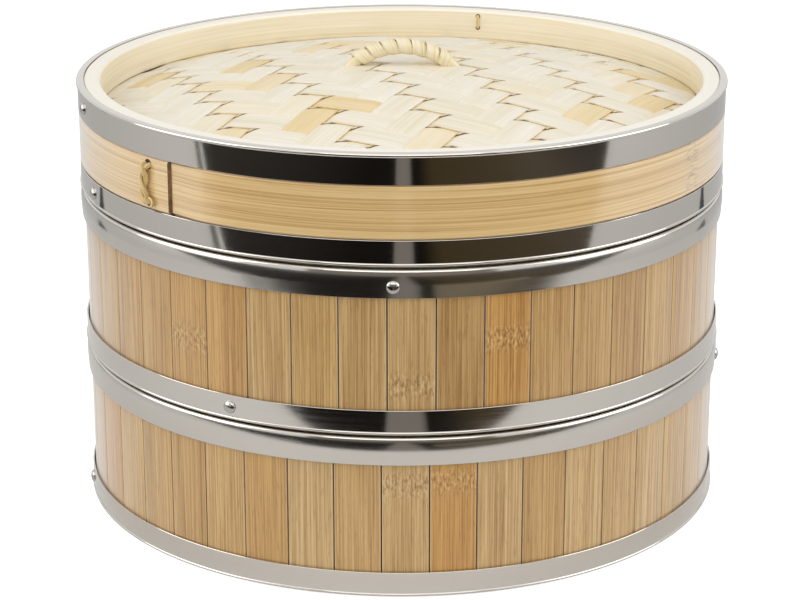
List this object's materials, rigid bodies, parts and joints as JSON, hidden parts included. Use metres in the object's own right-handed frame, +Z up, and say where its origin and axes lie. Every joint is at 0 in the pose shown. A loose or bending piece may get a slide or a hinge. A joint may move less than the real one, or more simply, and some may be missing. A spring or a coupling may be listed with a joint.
{
  "type": "bamboo steamer",
  "caption": "Round steel-banded bamboo steamer: stave-walled tiers with slatted floors that nest under a lid with a woven dome and a cane-wrapped handle.",
  "frame": {"origin": "middle of the flat ring that the lower tier stands on", "axes": "+Z up along the steamer's axis, -Y to the front, +X to the right along the handle"},
  "size_m": [0.2542, 0.2566, 0.1805],
  "materials": {
    "bamboo_stave": "planed bamboo staves, bare, satin",
    "bamboo_hoop": "bent bamboo strip, bare, satin",
    "bamboo_inner_hoop": "bent bamboo strip, pale, bare, matt",
    "bamboo_slat": "split bamboo slats, bare, matt",
    "woven_bamboo": "woven flat bamboo splints, bare, satin",
    "cane": "split cane, bare, satin",
    "stainless_steel": "fine lengthwise brushing on rolled sheet"
  },
  "bodies": {
    "lower_tier": {"lower_tier_stave_wall": "bamboo_stave", "lower_tier_inner_hoop": "bamboo_inner_hoop", "lower_tier_ledge_hoop": "bamboo_inner_hoop", "lower_tier_slat_1": "bamboo_slat", "lower_tier_slat_2": "bamboo_slat", "lower_tier_slat_3": "bamboo_slat", "lower_tier_slat_4": "bamboo_slat", "lower_tier_slat_5": "bamboo_slat", "lower_tier_slat_6": "bamboo_slat", "lower_tier_slat_7": "bamboo_slat", "lower_tier_slat_8": "bamboo_slat", "lower_tier_slat_9": "bamboo_slat", "lower_tier_slat_10": "bamboo_slat", "lower_tier_slat_11": "bamboo_slat", "lower_tier_batten_1": "bamboo_slat", "lower_tier_batten_2": "bamboo_slat", "lower_tier_top_band": "stainless_steel", "lower_tier_top_band_rivet_1": "stainless_steel", "lower_tier_top_band_rivet_2": "stainless_steel", "lower_tier_bottom_band": "stainless_steel", "lower_tier_bottom_band_rivet_1": "stainless_steel", "lower_tier_bottom_band_rivet_2": "stainless_steel"},
    "upper_tier": {"upper_tier_stave_wall": "bamboo_stave", "upper_tier_inner_hoop": "bamboo_inner_hoop", "upper_tier_ledge_hoop": "bamboo_inner_hoop", "upper_tier_slat_1": "bamboo_slat", "upper_tier_slat_2": "bamboo_slat", "upper_tier_slat_3": "bamboo_slat", "upper_tier_slat_4": "bamboo_slat", "upper_tier_slat_5": "bamboo_slat", "upper_tier_slat_6": "bamboo_slat", "upper_tier_slat_7": "bamboo_slat", "upper_tier_slat_8": "bamboo_slat", "upper_tier_slat_9": "bamboo_slat", "upper_tier_slat_10": "bamboo_slat", "upper_tier_slat_11": "bamboo_slat", "upper_tier_batten_1": "bamboo_slat", "upper_tier_batten_2": "bamboo_slat", "upper_tier_top_band": "stainless_steel", "upper_tier_top_band_rivet_1": "stainless_steel", "upper_tier_top_band_rivet_2": "stainless_steel", "upper_tier_bottom_band": "stainless_steel", "upper_tier_bottom_band_rivet_1": "stainless_steel", "upper_tier_bottom_band_rivet_2": "stainless_steel"},
    "lid": {"lid_outer_hoop": "bamboo_hoop", "lid_rim_hoop": "bamboo_inner_hoop", "lid_skirt_hoop": "bamboo_inner_hoop", "lid_woven_panel": "woven_bamboo", "lid_lining_panel": "woven_bamboo", "lid_top_band": "stainless_steel", "lid_top_band_rivet_1": "stainless_steel", "lid_top_band_rivet_2": "stainless_steel", "lid_bottom_band": "stainless_steel", "lid_bottom_band_rivet_1": "stainless_steel", "lid_bottom_band_rivet_2": "stainless_steel", "lid_lashing": "cane", "lid_rim_stitch": "cane", "lid_handle_core": "cane", "lid_handle_wrap": "cane"}
  },
  "joints": [
    {"name": "upper_tier_lift", "type": "slide", "parent": "lower_tier", "child": "upper_tier", "axis": [0, 0, 1], "range_m": [0, 0.15]},
    {"name": "lid_lift", "type": "slide", "parent": "upper_tier", "child": "lid", "axis": [0, 0, 1], "range_m": [0, 0.15]}
  ]
}
